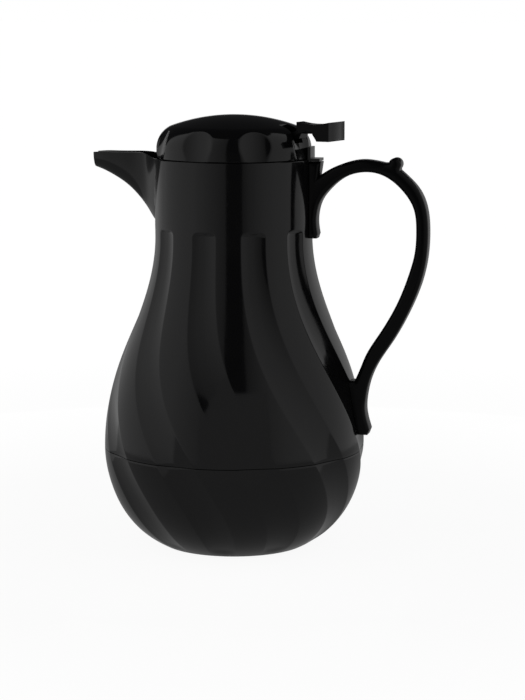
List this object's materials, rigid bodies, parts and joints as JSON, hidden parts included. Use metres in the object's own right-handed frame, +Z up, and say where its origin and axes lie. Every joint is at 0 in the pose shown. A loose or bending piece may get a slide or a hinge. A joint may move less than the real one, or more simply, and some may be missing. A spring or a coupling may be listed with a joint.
{
  "type": "thermal carafe",
  "caption": "Insulated serving carafe: swirl-fluted body, open pouring spout, loop handle and a twist-off domed lid whose thumb lever lifts a sprung pour valve.",
  "frame": {"origin": "middle of the flat base, on the surface that the carafe stands on", "axes": "+Z up along the body's axis, +X towards the handle, -X towards the spout; the picture's camera stands on the -Y side"},
  "size_m": [0.1922, 0.1482, 0.2442],
  "materials": {
    "shell_black": "polished black plastic",
    "lid_black": "polished black plastic",
    "handle_black": "polished black plastic",
    "lever_black": "polished black plastic",
    "inner_black": "plain moulded plastic",
    "liner_grey": "smooth moulded plastic",
    "foam_cream": "rigid insulating foam",
    "seal_rubber": "soft translucent silicone",
    "steel": "stainless"
  },
  "bodies": {
    "carafe": {"upper_shell": "shell_black", "lower_shell": "shell_black", "base_cap": "inner_black", "foam_fill_plug": "inner_black", "inner_liner": "liner_grey", "liner_gasket": "seal_rubber", "foam_insulation": "foam_cream", "handle": "handle_black", "handle_screws": "steel", "neck_collar": "shell_black"},
    "seal": {"stopper_seal": "seal_rubber"},
    "lid": {"lid_dome": "lid_black", "lid_stopper": "inner_black", "valve_guide": "inner_black", "guide_screws": "steel", "lever_pin": "steel"},
    "valve": {"valve_stem": "inner_black", "valve_seal": "seal_rubber", "stem_clip": "steel", "valve_spring": "steel"},
    "lever": {"thumb_lever": "lever_black"}
  },
  "joints": [
    {"name": "lid_lift", "type": "slide", "parent": "carafe", "child": "seal", "axis": [0, 0, 1], "range_m": [0, 0.08]},
    {"name": "lid_twist", "type": "hinge", "parent": "seal", "child": "lid", "pos_m": [0, 0, 0.22], "axis": [0, 0, 1], "range_deg": [0, 90]},
    {"name": "lever_press", "type": "hinge", "parent": "lid", "child": "lever", "pos_m": [0.02705, -0.00725, 0.232], "axis": [0.2588, 0.9659, 0], "range_deg": [0, 10], "stiffness_Nm_per_rad": 0.6, "springref_deg": -8.59},
    {"name": "valve_lift", "type": "slide", "parent": "lid", "child": "valve", "axis": [0, 0, 1], "range_m": [0, 0.0054], "deforming": ["valve_spring"]}
  ],
  "couplings": [
    {"joint": "valve_lift", "follows": "lever_press", "m_per_rad": 0.0305}
  ]
}
